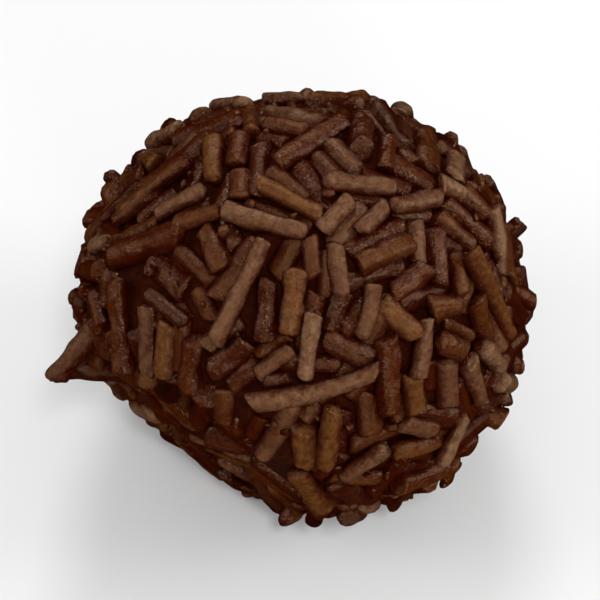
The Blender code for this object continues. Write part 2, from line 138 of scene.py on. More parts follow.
# Single sprinkles that stand out on the facing side:
# (across, up, heading in degrees, length, diameter, lift, look, bend). Lengths and diameters are
# as the same eye sees them, so a nearer sprinkle is a little smaller than it looks.
STANDING_OUT = [
    # The middle.
    (-0.27, 0.04, 64, 7.6, 1.25, 0.15, "pale", 0),
    (0.04, -0.21, 82, 4.4, 1.20, 0.1, "milky", 0),
    (0.06, -0.39, 15, 8.6, 1.35, 0.15, "pale", 0.35),
    (-0.16, 0.36, -15, 6.0, 1.20, 0.1, "pale", 0.15),
    (-0.04, 0.45, -27, 4.8, 1.25, 0.0, "golden", 0),
    (0.27, 0.52, -7, 4.9, 1.35, 0.1, "pale", 0),
    (0.52, 0.44, 10, 4.2, 1.25, 0.1, "olive", 0),
    (0.16, 0.38, 42, 3.0, 1.35, 0.1, "pale", 0),
    (0.33, 0.37, 45, 3.0, 1.15, 0.0, "olive", 0),
    (-0.03, -0.01, 83, 4.4, 1.50, 0.0, "golden", 0),
    (-0.15, -0.04, 87, 3.9, 1.50, -0.2, "dark", 0),
    (0.38, 0.21, 25, 4.4, 1.65, 0.0, "brown", 0),
    (0.50, 0.09, 30, 3.6, 1.50, -0.1, "red", 0),
    (0.63, 0.19, -85, 3.8, 1.60, -0.1, "glossy", 0),
    (0.17, 0.14, -81, 3.4, 1.30, -0.1, "olive", 0),
    (0.05, 0.19, -86, 2.8, 1.20, -0.2, "brown", 0),
    (0.30, -0.05, 76, 3.6, 1.20, 0.0, "olive", 0.2),
    (0.16, -0.06, 70, 2.4, 1.25, -0.2, "dark", 0),
    (0.22, -0.22, -28, 3.8, 1.75, -0.2, "glossy", 0),
    (0.43, -0.08, -42, 3.5, 1.75, 0.0, "golden", 0),
    (0.55, -0.21, 82, 3.8, 1.25, 0.0, "pale", 0),
    (0.39, -0.34, 84, 5.6, 1.60, 0.0, "red", 0),
    (0.51, -0.42, 100, 3.2, 1.65, 0.0, "golden", 0),
    (-0.12, -0.28, 37, 3.0, 1.10, 0.0, "olive", 0),
    (-0.31, -0.25, 39, 3.2, 1.70, -0.1, "glossy", 0),
    (0.13, -0.62, 81, 5.2, 1.40, 0.1, "golden", 0),
    (0.02, -0.64, 92, 3.4, 1.70, 0.0, "golden", 0),
    (-0.34, -0.47, 88, 2.6, 1.40, 0.0, "brown", 0),
    (0.31, -0.50, 75, 3.2, 1.60, -0.3, "brown", 0),
    # The top.
    (0.04, 0.72, 34, 6.6, 1.50, 0.0, "red", 0),
    (0.27, 0.74, 90, 4.2, 1.75, 0.0, "glossy", 0),
    (0.18, 0.90, 3, 6.6, 1.20, 0.0, "golden", 0),
    (-0.31, 0.87, 3, 4.2, 1.30, 0.0, "milky", 0),
    (-0.07, 0.90, 0, 2.8, 1.10, 0.0, "pale", 0),
    (-0.22, 0.80, -86, 3.2, 1.30, 0.0, "brown", 0),
    (-0.07, 0.77, -12, 3.4, 1.40, -0.1, "brown", 0),
    (-0.28, 0.67, 84, 3.0, 1.45, -0.1, "red", 0),
    (-0.27, 0.52, 88, 2.4, 1.30, 0.0, "brown", 0),
    (-0.39, 0.63, 90, 4.0, 1.45, 0.0, "golden", 0),
    (0.46, 0.85, 60, 2.8, 1.50, 0.0, "milky", 0),
    (0.57, 0.66, -80, 4.4, 1.80, -0.1, "brown", 0),
    (0.39, 0.66, 85, 3.4, 1.30, -0.1, "red", 0),
    # The left.
    (-0.68, 0.25, 22, 6.4, 1.95, 0.0, "red", 0),
    (-0.81, -0.12, 95, 6.0, 1.55, 0.1, "red", 0),
    (-0.69, -0.18, 90, 4.8, 1.25, 0.0, "slick", 0),
    (-0.60, -0.21, 84, 3.4, 1.45, 0.0, "golden", 0),
    (-0.49, -0.29, 83, 4.0, 1.60, 0.0, "red", 0),
    (-0.66, 0.50, 40, 6.2, 1.35, 0.0, "brown", 0),
    (-0.79, 0.44, 47, 4.2, 1.15, -0.2, "dark", 0),
    (-0.54, 0.44, 27, 3.9, 1.20, 0.0, "pale", 0),
    (-0.46, 0.37, 22, 3.2, 1.20, 0.1, "brown", 0),
    (-0.39, 0.24, -65, 3.4, 1.70, -0.2, "brown", 0),
    (-0.90, 0.25, 18, 2.6, 1.20, 0.1, "milky", 0),
    (-0.92, 0.13, 5, 2.8, 1.50, 0.0, "red", 0),
    (-0.91, -0.05, -75, 2.8, 1.30, 0.0, "red", 0),
    (-0.60, -0.04, -38, 3.8, 1.05, 0.0, "dark", 0),
    (-0.58, 0.10, -40, 3.8, 2.20, -0.5, "squashed", 0),
    # Milky here stands in for a glint: a painted highlight.
    (-0.60, 0.73, 25, 3.6, 1.50, 0.0, "milky", 0),
    (-0.66, 0.62, -30, 2.6, 1.40, 0.0, "golden", 0),
    # The right.
    (0.85, 0.02, -59, 8.0, 1.40, 0.1, "golden", 0),
    (0.70, 0.59, 88, 3.0, 1.50, 0.1, "milky", 0),
    (0.68, 0.50, 20, 2.2, 1.40, 0.1, "milky", 0),
    (0.88, 0.30, -80, 3.8, 1.30, 0.1, "milky", 0),
    (0.78, -0.36, -72, 4.0, 1.40, 0.1, "pale", 0),
    (0.66, -0.38, 92, 3.8, 1.70, 0.0, "olive", 0),
    (0.71, 0.12, -80, 3.0, 1.30, 0.0, "brown", 0),
    (0.65, -0.03, 10, 2.8, 1.60, 0.0, "brown", 0),
    (0.81, -0.09, -78, 3.4, 1.60, 0.0, "brown", 0),
    (0.68, -0.21, -20, 3.0, 1.60, 0.0, "brown", 0),
    (0.86, -0.25, -55, 4.2, 1.40, 0.1, "milky", 0),
    (0.92, -0.37, -10, 4.0, 1.40, 0.0, "milky", 0),
    (0.53, -0.66, 3, 4.6, 1.35, 0.0, "golden", 0),
    (0.68, -0.62, 47, 3.6, 1.10, 0.1, "milky", 0),
    (0.53, -0.57, -12, 3.2, 1.30, 0.0, "olive", 0),
    (0.29, -0.73, 36, 4.0, 1.35, 0.0, "pale", 0),
    (0.05, -0.85, -48, 5.4, 1.75, 0.0, "golden", 0),
    (0.55, -0.79, 20, 4.4, 1.60, 0.0, "brown", 0),
    # The pressed side.
    (-0.23, -0.64, -12, 5.8, 2.10, -0.2, "pressed", 0),
    (-0.22, -0.78, -28, 5.4, 1.80, -0.2, "slick", 0),
    (-0.68, -0.47, -35, 4.4, 1.90, -0.1, "milky", 0),
    (-0.46, -0.71, -40, 4.6, 1.15, -0.2, "slick", 0),
    (-0.27, -0.86, -28, 4.2, 1.15, -0.2, "pressed", 0),
]

# The two that leave the outline: (across, up, towards the facing side, heading, length, diameter,
# look), with places as shares of the outer radius. They lie flat as the facing side is seen.
STICKING_OUT = [
    (-0.98, -0.20, 0.30, 52, 5.8, 1.60, "olive"),
    (-0.90, -0.31, 0.12, -3, 4.4, 1.60, "dark"),
]

# How the sprinkles are strewn and settle, as the solid's do.
PLACE_SCATTER = 0.03
TILT_SCATTER = 0.12
DROP_HEIGHT = 0.4
CROWDED_SHARE = 0.55
EASING_ROUNDS = 15
ROUNDS = 300
SHAKE = 0.05
SHAKEN_SHARE = 0.67
PULL = 0.03
APART_STIFFNESS = 0.45
FUDGE_STIFFNESS = 0.30
ROLLING_STIFFNESS = 0.35
TOUCH_SHARE = 0.96
FLOOR_SQUASH = 0.35
NEIGHBOUR_ROUNDS = 10
NEIGHBOUR_MARGIN = 0.4
STATIONS = (-1.0, -0.5, 0.0, 0.5, 1.0)
DECIMALS = 6
SETTLE_SEED = 11

# The least that is divided by, or that a root is taken of, where two sprinkles are parallel or meet.
LEAST_SPREAD = 1e-9
LEAST_SQUARE = 1e-12

# A small sprinkle lies over one that stands out if it is higher by this share of that one's
# radius, and nearer than this share of both radii.
HIDING_RISE = 0.3
HIDING_REACH = 1.3

# How far a sprinkle's own shape strays: its bend and taper, the slant and bulge of its ends, how
# strong its unevenness is, and where its grain starts.
BEND_SCATTER = 0.022
TAPER_SCATTER = 0.06
SLANT_SCATTER = 0.28
BULGES = (-0.12, 0.25)
WAVINESSES = (0.8, 2.2)
GRAIN_START = 50

# How flat the flattest strewn one is, the beta curve that mixes them, how much a flattened one
# widens, how flat those on the pressed side are, and their looks.
FLATTEST = 0.4
FLAT_MIX = (1.2, 4)
FLAT_WIDENING = 0.45
PRESSED_FLAT = 0.35
FLATTENED = ("pressed", "slick", "squashed")

# How the bend fades towards the ends, and how far the slant of an end is felt, in radii.
BEND_POWER = 1.7
SLANT_REACH = 1.4

# A sprinkle's ends: the arc that rounds the rim, in degrees, and the rings on the broken face.
RIM_ARC = (0, 30, 60, 90)
FACE_RINGS = (0.66, 0.33)
SHARPEST_RIM = 0.10
ROUNDEST_RIM = 0.55
FACE_CRUMBLE = 0.05

# Its uneven sides, as waves of (lobes round it, ripples a millimetre, share of the radius).
WAVES = [
    (0, 0.16, 0.040),
    (0, 0.45, 0.022),
    (1, 0.28, 0.025),
    (2, 0.12, 0.035),
    (2, 0.50, 0.016),
    (3, 0.25, 0.018),
    (4, 0.70, 0.012),
    (5, 0.06, 0.012),
    (6, 0.90, 0.010),
    (7, 0.04, 0.010),
]

# Points round a sprinkle and rings along it, for each kind.
MESH_SIZES = {
    "sprinkles_standing_out": (24, 34),
    "sprinkles_large": (14, 16),
    "sprinkles_small": (12, 9),
}

# How finely the ball of fudge and a crumb are meshed.
FUDGE_SUBDIVISIONS = 6
CRUMB_SUBDIVISIONS = 2

# Crumbs in the dips between the sprinkles. Of the places tried, ranked from the lowest, they lie in
# some between these two ranks.
CRUMBS = 180
CRUMB_TRIALS = 2400
CRUMB_RANKS = (300, 1200)
CRUMB_SMALLEST = 0.20
CRUMB_LARGEST = 0.60
CRUMB_MIX = (1.2, 2.5)
CRUMB_STRETCH = (0.6, 1.4)
CRUMB_RISE = 0.10
CRUMB_LOOKS = ("dark", "red", "brown", "golden")
CRUMB_LOOK_SCATTER = 0.08
CRUMB_SEED = 5

# The flat sides of a crumb: how many, how far from its middle as a share of its size, and the
# least slant at which one is felt.
CRUMB_CUTS = 5
CUT_DISTANCE = 0.62
LEAST_CUT_SLANT = 0.05

# Noises in a sprinkle's grain, as (scale, detail, roughness), how the streaks are drawn out along
# it, and how much of the mottle is added to the crest.
STREAKS = (1.0, 4.0, 0.6)
SPECKS = (6.0, 5.0, 0.65)
PATCHES = (0.9, 2.0, 0.5)
MOTTLE = (2.4, 3.0, 0.6)
STREAK_STRETCH = (0.5, 3.4, 3.4)
MOTTLE_SHARE = 0.7

# The same for the fudge, in metres.
FUDGE_LUMPS = (1400.0, 6.0, 0.65)

# Tones of the chocolate, from near-black to golden, and of the fudge, as (place, colour).
CHOCOLATE_TONES = [
    (0.0, (0.014, 0.0008, 0.0001)),
    (0.20, (0.025, 0.0020, 0.0001)),
    (0.40, (0.045, 0.0047, 0.0002)),
    (0.60, (0.056, 0.0105, 0.0006)),
    (0.80, (0.082, 0.0215, 0.0020)),
    (1.0, (0.118, 0.0400, 0.0050)),
]
FUDGE_TONES = [
    (0.35, (0.026, 0.0018, 0.0001)),
    (0.75, (0.052, 0.0062, 0.0004)),
]

# The pale bloom on a sprinkle, which also paints a sheen on its crest, and the painted shade
# low in the coat and on the sprinkles' undersides.
BLOOM_AND_SHEEN_COLOUR = (0.172, 0.090, 0.048, 1)
DEEP_SHADE_COLOUR = (0.034, 0.0026, 0.0002, 1)
LEAST_BLOOM_AND_SHEEN = 0.03

# What a value between the first two numbers becomes, between the last two: tone along the streaks,
# painted light and shade as tone from the underside to the crest, bloom with a painted sheen from
# the underside to the crest and in specks, and how far the painted shade colour is left behind, by
# the share of the coat and from the underside to the crest, so that shade is painted low in the coat
# and below.
STREAK_TONE = (0.3, 0.7, -0.12, 0.12)
CREST_LIGHT_AND_SHADE = (1.05, 1.42, -0.20, 0.16)
CREST_BLOOM_AND_SHEEN = (0.80, 1.30, 0.25, 1.0)
SPECK_BLOOM_AND_SHEEN = (0.76, 1.20, 0.45, 1.0)
DEPTH_UNSHADED = (0.25, 0.85, 0.0, 1.0)
CREST_UNSHADED = (0.65, 1.35, 0.0, 1.0)

# Gloss: roughness by patches, how much a glossy look takes off it, sparkles where the specks are
# strongest, and the warm tint that the chocolate gives to what it mirrors.
PATCH_ROUGHNESS = (0.3, 0.7, 0.20, 0.36)
GLOSS_EFFECT = -0.2
SPARKLES = (0.53, 0.60, 0.0, 1.0)
SPARKLE_ROUGHNESS = 0.07
SPRINKLE_MIRROR = 0.65
GLOSS_TINT = (1.0, 0.54, 0.26, 1)
FUDGE_ROUGHNESS = 0.7
FUDGE_MIRROR = 0.15

# Fine relief, as (strength, height in metres).
MOTTLE_RELIEF = (0.6, 0.00016)
SPECK_RELIEF = (0.8, 0.00006)
STREAK_RELIEF = (0.5, 0.00012)
FUDGE_RELIEF = (1.0, 0.0004)

# Lights as (name, place, size, power), in metres and watts, and the even light from all round.
LIGHTS = [
    ("key", (0.07, -0.25, 0.42), 0.08, 0.58),
    ("left", (-0.42, -0.03, 0.23), 0.20, 0.46),
    ("right", (0.42, 0.00, 0.20), 0.20, 0.73),
    ("front", (0.12, -0.45, 0.10), 0.08, 0.38),
    ("back", (0.0, 0.28, 0.38), 0.14, 0.60),
]
EVEN_LIGHT = 0.50

# Camera, in millimetres, how near and far it sees, in metres, and the floor.
CAMERA_LENS = 107
CAMERA_SENSOR = 36
CAMERA_RANGE = (0.005, 10)
FLOOR_SIZE = 1.2
FLOOR_COLOUR = (0.86, 0.86, 0.86, 1)
FLOOR_ROUGHNESS = 0.9
FLOOR_MIRROR = 0.1


def dots(a, b):
    """Row-by-row dot products."""
    return (a * b).sum(axis=-1)


def unit(vectors):
    """The same vectors at length one."""
    return vectors / np.sqrt(dots(vectors, vectors))[..., None]


def facing_axes():
    """The facing side's right, up and outward directions."""
    sine, cosine = math.sin(FACING_ELEVATION), math.cos(FACING_ELEVATION)
    right = np.array([1.0, 0.0, 0.0])
    up = np.array([0.0, sine, cosine])
    outward = np.array([0.0, -cosine, sine])
    return right, up, outward


def facing_direction(across, up_share):
    """Direction from the ball's centre to a place on the facing side."""
    right, up, outward = facing_axes()
    depth = math.sqrt(max(0.0, 1 - across**2 - up_share**2))
    return unit(across * right + up_share * up + depth * outward)


def looks_smaller(place):
    """How much smaller a thing is than it looks from the eye, as it lies nearer than the middle."""
    return 1 - dots(place, facing_axes()[2]) / EYE_DISTANCE


def heading_along_surface(place, heading):
    """Direction along the surface at a place that the eye sees point at a heading."""
    right, up, outward = facing_axes()
    sight = unit(outward * EYE_DISTANCE - place)
    flat = math.cos(heading) * right + math.sin(heading) * up
    depth = max(LEAST_SLANT, dots(unit(place), sight))
    return unit(flat - sight * dots(flat, unit(place)) / depth)


def all_lumps():
    """Every lump of the ball as (direction, height, spread)."""
    rng = np.random.default_rng(SEED)
    lumps = [(facing_direction(a, u), height, spread) for a, u, height, spread in LUMPS]
    for direction in unit(rng.normal(size=(RANDOM_LUMPS, 3))):
        height = RANDOM_LUMP_HEIGHT * rng.uniform(-1, 1)
        lumps.append((direction, height, RANDOM_LUMP_SPREAD))
    return lumps


BALL_LUMPS = all_lumps()


def ball_radius(directions):
    """Distance from the ball's centre to its surface along each direction."""
    radius = 1 / np.sqrt(dots(directions / SEMI_AXES, directions / SEMI_AXES))
    for direction, height, spread in BALL_LUMPS:
        radius = radius + height * np.exp((dots(directions, direction) - 1) / spread)
    slant = np.maximum(dots(directions, facing_direction(*PRESSED_SIDE)), LEAST_SLANT)
    plane = PRESSED_DISTANCE / slant
    return -PRESSED_EASING * np.logaddexp(-radius / PRESSED_EASING, -plane / PRESSED_EASING)


def pressed_share(directions):
    """How much of the pressed side is felt along each direction: 1 in its middle."""
    slant = dots(directions, facing_direction(*PRESSED_SIDE))
    return np.exp((slant - 1) / PRESSED_SPREAD)


def coat_depth(directions):
    """How far the coat of sprinkles stands out along each direction."""
    return COAT - (COAT - PRESSED_COAT) * pressed_share(directions)


def place_standing_out(across, up_share, diameter, lift):
    """Where the middle of a sprinkle lies that the eye sees at (across, up).

    It is the first place down the line of sight where the sprinkle is in the coat or, where the
    line passes the ball by, the nearest one, drawn in to the coat.
    """
    right, up, outward = facing_axes()
    depth = np.arange(OUTER_RADIUS, -OUTER_RADIUS / 2, -SIGHT_STEP)[:, None]
    sideways = (across * right + up_share * up) * OUTER_RADIUS
    places = sideways * (1 - depth / EYE_DISTANCE) + outward * depth
    reach = np.sqrt(dots(places, places))
    directions = places / reach[:, None]
    radius = diameter / 2 * (1 - depth[:, 0] / EYE_DISTANCE)
    height = reach + radius - ball_radius(directions) - coat_depth(directions) - lift
    inside = np.nonzero(height <= 0)[0]
    first = inside[0] if len(inside) else height.argmin()
    return places[first] * (1 - max(height[first], 0) / reach[first])


def sprinkles_sticking_out():
    """The sprinkles that leave the outline: centres, half axes and radii."""
    right, up, outward = facing_axes()
    centres, halves, radii = [], [], []
    for across, up_share, towards, heading, length, diameter, _ in STICKING_OUT:
        place = (across * right + up_share * up) * OUTER_RADIUS
        place = place * (1 - towards * OUTER_RADIUS / EYE_DISTANCE)
        axis = math.cos(math.radians(heading)) * right + math.sin(math.radians(heading)) * up
        centres.append(place + towards * OUTER_RADIUS * outward)
        halves.append(axis * (length - diameter) / 2)
        radii.append(diameter / 2)
    return np.array(centres), np.array(halves), np.array(radii)


def sprinkles_standing_out():
    """The single sprinkles on the facing side: centres, half axes and radii."""
    centres, halves, radii = [], [], []
    for across, up_share, heading, length, diameter, lift, _, _ in STANDING_OUT:
        place = place_standing_out(across, up_share, diameter, lift)
        smaller = looks_smaller(place)
        axis = heading_along_surface(place, math.radians(heading))
        centres.append(place)
        halves.append(axis * (length - diameter) / 2 * smaller)
        radii.append(diameter / 2 * smaller)
    return np.array(centres), np.array(halves), np.array(radii)


def strewn(count, lengths, thicknesses, tilt, seed):
    """Sprinkles of mixed sizes spread evenly round the ball, not settled yet."""
    rng = np.random.default_rng(seed)
    index = np.arange(count)
    height = 1 - 2 * (index + 0.5) / count
    turn = index * math.pi * (3 - math.sqrt(5))
    ring = np.sqrt(1 - height**2)
    spiral = np.stack([ring * np.cos(turn), ring * np.sin(turn), height], axis=1)
    directions = unit(spiral + rng.normal(scale=PLACE_SCATTER, size=spiral.shape))
    shortest, longest = lengths
    thinnest, thickest = thicknesses
    lengths = shortest + (longest - shortest) * rng.beta(*LENGTH_MIX, count)
    radii = rng.uniform(thinnest, thickest, count) / 2
    axes = unit(np.cross(directions, rng.normal(size=spiral.shape)))
    axes = unit(axes + directions * rng.normal(scale=tilt, size=(count, 1)))
    reach = ball_radius(directions) + radii + rng.uniform(0, DROP_HEIGHT, count)
    return directions * reach[:, None], axes * (lengths / 2 - radii)[:, None], radii


def nearby_pairs(centres, halves, radii):
    """Index pairs of sprinkles that are near enough to touch."""
    reach = np.sqrt(dots(halves, halves)) + radii + NEIGHBOUR_MARGIN
    gaps = centres[:, None] - centres[None]
    near = dots(gaps, gaps) < (reach[:, None] + reach[None]) ** 2
    return np.nonzero(np.triu(near, 1))


def closest_shares(gap, first, second):
    """Where two sprinkles come closest, each as a share from -1 to 1 of its half axis."""
    a, e, b = dots(first, first), dots(second, second), dots(first, second)
    c, f = dots(first, gap), dots(second, gap)
    spread = np.maximum(a * e - b * b, LEAST_SPREAD)
    s = np.clip((b * f - c * e) / spread, -1, 1)
    t = np.clip((b * s + f) / e, -1, 1)
    s = np.clip((b * t - c) / a, -1, 1)
    return s, t


def clear_of(fixed, others):
    """The other sprinkles without those that start inside one of the fixed ones."""
    (centres, halves, radii), (own_centres, own_halves, own_radii) = fixed, others
    crowded = np.zeros(len(own_radii), bool)
    for row in range(len(own_radii)):
        gap = centres - own_centres[row]
        own_half = np.broadcast_to(own_halves[row], halves.shape)
        s, t = closest_shares(gap, halves, own_half)
        between = gap + s[:, None] * halves - t[:, None] * own_half
        apart = np.sqrt(dots(between, between))
        crowded[row] = (apart < CROWDED_SHARE * (radii + own_radii[row])).any()
    return tuple(values[~crowded] for values in others)


def push(moves, turns, rows, shares, force):
    """Adds a force at a share of each half axis, as a move and a turn of the sprinkle.

    A thin rod's inertia about its middle makes the 3: its ends give way three times as readily.
    """
    give = 1 / (1 + 3 * shares**2)
    np.add.at(moves, rows, force * give[:, None])
    np.add.at(turns, rows, force * (3 * shares * give)[:, None])


def push_apart(moves, turns, pairs, centres, halves, radii):
    """Pushes apart the sprinkles that overlap."""
    first, second = pairs
    gap = centres[first] - centres[second]
    s, t = closest_shares(gap, halves[first], halves[second])
    between = gap + s[:, None] * halves[first] - t[:, None] * halves[second]
    apart = np.sqrt(np.maximum(dots(between, between), LEAST_SQUARE))
    overlap = np.maximum((radii[first] + radii[second]) * TOUCH_SHARE - apart, 0)
    force = between / apart[:, None] * (overlap * APART_STIFFNESS)[:, None]
    push(moves, turns, first, s, force)
    push(moves, turns, second, t, -force)


def press_on_ball(moves, turns, centres, halves, radii):
    """Draws each sprinkle to the ball, keeps it out of the fudge and the floor, and rolls it."""
    rows = np.arange(len(radii))
    for share in STATIONS:
        place = centres + share * halves
        reach = np.sqrt(dots(place, place))
        outward = place / reach[:, None]
        surface = ball_radius(outward)
        sunk = np.maximum(surface + radii * (1 - 2 * SUNK_SHARE) - reach, 0)
        proud = np.maximum(reach + radii - surface - coat_depth(outward), 0)
        strength = sunk * FUDGE_STIFFNESS - proud * ROLLING_STIFFNESS - PULL
        force = outward * strength[:, None]
        force[:, 2] += np.maximum(radii * (1 - FLOOR_SQUASH) - BALL_CENTRE[2] - place[:, 2], 0)
        push(moves, turns, rows, np.full(len(rows), share), force)


def moved(centres, halves, moves, turns, loose):
    """The sprinkles after one round: the loose ones shift and turn, and keep their lengths."""
    lengths = np.sqrt(dots(halves, halves))
    centres = np.round(centres + moves * loose[:, None], DECIMALS)
    halves = halves + turns * loose[:, None]
    halves = halves * (lengths / np.sqrt(dots(halves, halves)))[:, None]
    return centres, np.round(halves, DECIMALS)


def ease_apart(centres, halves, radii, loose):
    """Shifts the loose sprinkles out of each other, and no more than that."""
    pairs = nearby_pairs(centres, halves, radii)
    for _ in range(EASING_ROUNDS):
        moves, turns = np.zeros_like(centres), np.zeros_like(centres)
        push_apart(moves, turns, pairs, centres, halves, radii)
        centres, halves = moved(centres, halves, moves, turns, loose)
    return centres, halves, radii


def settle(centres, halves, radii, loose):
    """Lets the loose sprinkles come to rest on the ball and against each other."""
    rng = np.random.default_rng(SETTLE_SEED)
    for turn in range(ROUNDS):
        if turn % NEIGHBOUR_ROUNDS == 0:
            pairs = nearby_pairs(centres, halves, radii)
        shake = SHAKE * max(0.0, 1 - turn / (ROUNDS * SHAKEN_SHARE))
        moves = shake * rng.normal(size=centres.shape)
        turns = shake * rng.normal(size=centres.shape)
        push_apart(moves, turns, pairs, centres, halves, radii)
        press_on_ball(moves, turns, centres, halves, radii)
        centres, halves = moved(centres, halves, moves, turns, loose)
    return centres, halves, radii


def joined(first, second):
    """Two sets of sprinkles as one: centres, half axes and radii."""
    return tuple(np.concatenate(both) for both in zip(first, second))


def part_of(values, kept):
    """The chosen rows of each array in a dictionary or a tuple."""
    if isinstance(values, dict):
        return {name: rows[kept] for name, rows in values.items()}
    return tuple(rows[kept] for rows in values)


def hides_one(centres, halves, radii, shown):
    """Which sprinkles lie over one of the first, shown ones."""
    pairs = nearby_pairs(centres, halves, radii)
    keep = pairs[0] < shown
    first, second = pairs[0][keep], pairs[1][keep]
    gap = centres[first] - centres[second]
    s, t = closest_shares(gap, halves[first], halves[second])
    below = centres[first] + s[:, None] * halves[first]
    above = centres[second] + t[:, None] * halves[second]
    rise = np.sqrt(dots(above, above)) - np.sqrt(dots(below, below))
    apart = np.sqrt(dots(above - below, above - below))
    higher = rise > HIDING_RISE * radii[first]
    near = apart < HIDING_REACH * (radii[first] + radii[second])
    hiding = np.zeros(len(radii), bool)
    hiding[second[higher & near]] = True
    return hiding


def settled_sprinkles():
    """Every sprinkle at rest, and how many stand out and how many the solid has."""
    sticking = sprinkles_sticking_out()
    rods = joined(sticking, sprinkles_standing_out())
    shown = len(rods[2])
    loose = np.arange(shown) >= len(sticking[2])
    rods = ease_apart(*rods, loose)
    sizes = (SHORTEST, LONGEST), (THINNEST, THICKEST)
    rods = joined(rods, clear_of(rods, strewn(SPRINKLES, *sizes, TILT_SCATTER, SEED)))
    solid = len(rods[2])
    rods = settle(*rods, np.arange(solid) >= shown)
    sizes = (FILLER_SHORTEST, FILLER_LONGEST), (FILLER_THINNEST, FILLER_THICKEST)
    rods = joined(rods, strewn(FILLERS, *sizes, FILLER_TILT, FILLER_SEED))
    loose = np.arange(len(rods[2])) >= solid
    rods = settle(*rods, loose)
    kept = ~(hides_one(*rods, shown) & loose)
    return part_of(rods, kept), shown, solid


def characters(count, seed):
    """Each sprinkle's own shape and look: its bend, flattening, ends, tone, bloom and gloss."""
    rng = np.random.default_rng(seed)
    kinds = rng.choice(list(LOOK_SHARES), size=count, p=list(LOOK_SHARES.values()))
    looks = np.array([LOOKS[kind] for kind in kinds])
    looks = looks + rng.normal(scale=LOOK_SCATTER, size=looks.shape)
    return {
        "look": np.clip(looks, 0, 1),
        "bend": rng.normal(scale=BEND_SCATTER, size=count),
        "bend_side": rng.uniform(0, 2 * math.pi, count),
        "flat": rng.beta(*FLAT_MIX, count) * FLATTEST,
        "taper": rng.normal(scale=TAPER_SCATTER, size=count),
        "slant": rng.normal(scale=SLANT_SCATTER, size=(count, 2, 2)),
        "rim": rng.uniform(SHARPEST_RIM, ROUNDEST_RIM, (count, 2)),
        "bulge": rng.uniform(*BULGES, (count, 2)),
        "phases": rng.uniform(0, 2 * math.pi, size=(count, len(WAVES))),
        "waviness": rng.uniform(*WAVINESSES, count),
        "offset": rng.uniform(-GRAIN_START, GRAIN_START, size=(count, 3)),
    }


def end_rings(rim, bulge):
    """Distances past the straight part and shares of the radius, from its rim to its middle."""
    arc = np.radians(RIM_ARC)
    ahead = rim[:, None] * (np.sin(arc) - 1)[None]
    share = 1 - rim[:, None] * (1 - np.cos(arc))[None]
    face = np.array(FACE_RINGS)[None]
    ahead = np.concatenate([ahead, bulge[:, None] * (1 - face**2)], axis=1)
    share = np.concatenate([share, (1 - rim)[:, None] * face], axis=1)
    return ahead, share


def rod_profile(half_lengths, radii, own, rings):
    """Each rod's rings as places along it, shares of its radius, and whether on a broken face."""
    sides = []
    for end in (0, 1):
        ahead, share = end_rings(own["rim"][:, end], own["bulge"][:, end])
        sides.append((half_lengths[:, None] + ahead * radii[:, None], share))
    (low, low_share), (high, high_share) = sides
    steps = np.linspace(0, 1, rings + 2)[None, 1:-1]
    middle = -low[:, :1] * (1 - steps) + high[:, :1] * steps
    places = np.concatenate([-low[:, ::-1], middle, high], axis=1)
    shares = np.concatenate([low_share[:, ::-1], np.ones_like(middle), high_share], axis=1)
    face = np.zeros(places.shape[1])
    face[: len(FACE_RINGS) + 1] = 1
    face[-len(FACE_RINGS) - 1 :] = 1
    return places, shares, face


def unevenness(places, angles, own):
    """How much each point of a rod's side stands out or in, as a share of its radius."""
    total = 0
    for number, (lobes, ripples, height) in enumerate(WAVES):
        phase = own["phases"][:, number, None, None]
        turn = lobes * angles + 2 * math.pi * ripples * places[:, :, None]
        total = total + height * np.cos(turn + phase)
    return total * own["waviness"][:, None, None]


def rod_section(along, places, shares, radii, own, angles):
    """How far each point of a rod lies across its axis and above it."""
    swell = (1 + own["taper"][:, None] * along)[:, :, None] + unevenness(places, angles, own)
    size = radii[:, None, None] * shares[:, :, None] * swell
    across = size * np.cos(angles) * (1 + FLAT_WIDENING * own["flat"])[:, None, None]
    high = size * np.sin(angles) * (1 - own["flat"])[:, None, None]
    return across, high


def rod_length(places, half_lengths, radii, own, face, across, high):
    """How far along its rod each point lies, with slanting ends and crumbled faces."""
    near = 1 - (half_lengths[:, None] - np.abs(places)) / (SLANT_REACH * radii[:, None])
    near = np.clip(near, 0, 1) ** 2
    end = (places > 0).astype(int)
    slant = own["slant"][np.arange(len(radii))[:, None], end]
    tilted = slant[:, :, 0, None] * across + slant[:, :, 1, None] * high
    rng = np.random.default_rng(SEED)
    crumble = rng.normal(scale=FACE_CRUMBLE, size=across.shape) * face[None, :, None]
    return places[:, :, None] + tilted * near[:, :, None] + crumble * radii[:, None, None]


def rod_bow(along, own):
    """How far a bend shifts each ring of a rod, across its axis and above it."""
    bow = own["bow"][:, None] * (1 - np.abs(along) ** BEND_POWER)
    across = (bow * np.cos(own["bend_side"])[:, None])[:, :, None]
    high = (bow * np.sin(own["bend_side"])[:, None])[:, :, None]
    return across, high


